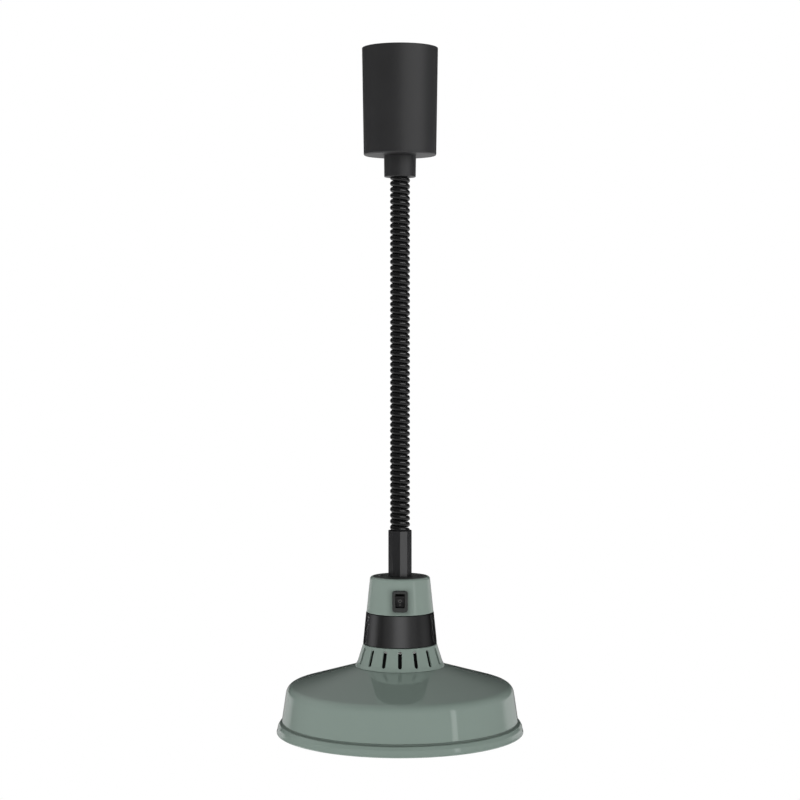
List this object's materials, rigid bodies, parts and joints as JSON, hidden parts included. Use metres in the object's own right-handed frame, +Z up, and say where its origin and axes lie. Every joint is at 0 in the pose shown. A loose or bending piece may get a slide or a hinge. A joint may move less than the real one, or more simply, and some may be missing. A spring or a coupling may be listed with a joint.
{
  "type": "pendant heat lamp",
  "caption": "Ceiling-hung heat lamp with an infra-red bulb in a wide flared shade, a rocker switch, a ten-sided pull grip and a curly cord that draws down from a sprung canister.",
  "frame": {"origin": "on the ceiling plane, on the lamp's vertical centre line, midway between the two ceiling screw holes", "axes": "+Z up into the ceiling, the lamp hangs towards -Z, -Y towards the rocker switch at the front, +X to the right as seen from the front"},
  "size_m": [0.2462, 0.2462, 0.6827],
  "materials": {
    "black_coat": "matt powder coat",
    "sage_coat": "semi-gloss stove enamel",
    "band_coat": "satin powder coat",
    "grip_coat": "satin black anodised",
    "cord_sheath": "satin",
    "black_plastic": "fine texture",
    "rocker_plastic": "satin",
    "light_plastic": "moulded",
    "zinc_steel": "zinc plated",
    "steel_rope": "stranded, galvanised",
    "spring_steel": "blued",
    "brass": "bright",
    "porcelain": "glazed",
    "cap_metal": "bright",
    "red_glass": "red stained, silvered inside above its widest part",
    "brown_core": "insulation",
    "blue_core": "insulation",
    "green_yellow_core": "insulation"
  },
  "bodies": {
    "ceiling_unit": {"ceiling_plate": "zinc_steel", "earth_screw": "brass", "canister_cover": "black_coat", "cover_screws": "zinc_steel", "retractor_frame": "zinc_steel", "frame_screws": "zinc_steel", "drum_axle": "zinc_steel", "axle_clips": "zinc_steel", "power_spring": "spring_steel", "rope_guide": "light_plastic", "terminal_block": "light_plastic", "terminal_screws": "brass", "cord_tail": "cord_sheath", "cord_clamp": "black_plastic", "clamp_screws": "zinc_steel", "gland_collar": "black_coat", "gland_nut": "zinc_steel", "curly_cord": "cord_sheath", "suspension_rope": "steel_rope"},
    "drum": {"rope_drum": "light_plastic", "drum_cover": "light_plastic", "rope_winding": "steel_rope"},
    "lamp_head": {"pull_grip": "grip_coat", "rope_ferrule": "steel_rope", "anchor_washer": "zinc_steel", "cord_end": "cord_sheath", "grip_spigot": "zinc_steel", "stem_nut": "zinc_steel", "hood_cap": "sage_coat", "hood_screws": "zinc_steel", "lampholder_bracket": "zinc_steel", "switch_body": "black_plastic", "switch_terminals": "brass", "band_sleeve": "band_coat", "vent_collar": "sage_coat", "tie_screws": "zinc_steel", "shade": "sage_coat", "shade_screws": "zinc_steel", "lampholder_body": "porcelain", "holder_screws": "zinc_steel", "lampholder_shell": "brass", "lampholder_contact": "brass", "bulb_cap": "cap_metal", "bulb_glass": "red_glass", "live_core": "brown_core", "neutral_core": "blue_core", "earth_core": "green_yellow_core", "switched_core": "brown_core"},
    "switch_rocker": {"rocker": "rocker_plastic"}
  },
  "joints": [
    {"name": "height_slide", "type": "slide", "parent": "ceiling_unit", "child": "lamp_head", "axis": [0, 0, -1], "range_m": [0, 1], "deforming": ["curly_cord", "suspension_rope"]},
    {"name": "drum_spin", "type": "hinge", "parent": "ceiling_unit", "child": "drum", "pos_m": [0.0125, 0, -0.042], "axis": [0, -1, 0], "range_deg": [0, 4600]},
    {"name": "rocker_tilt", "type": "hinge", "parent": "lamp_head", "child": "switch_rocker", "pos_m": [0, -0.02794, -0.54881], "axis": [-1, 0, 0], "range_deg": [0, 20]}
  ],
  "couplings": [
    {"joint": "drum_spin", "follows": "height_slide", "rad_per_m": 80}
  ]
}
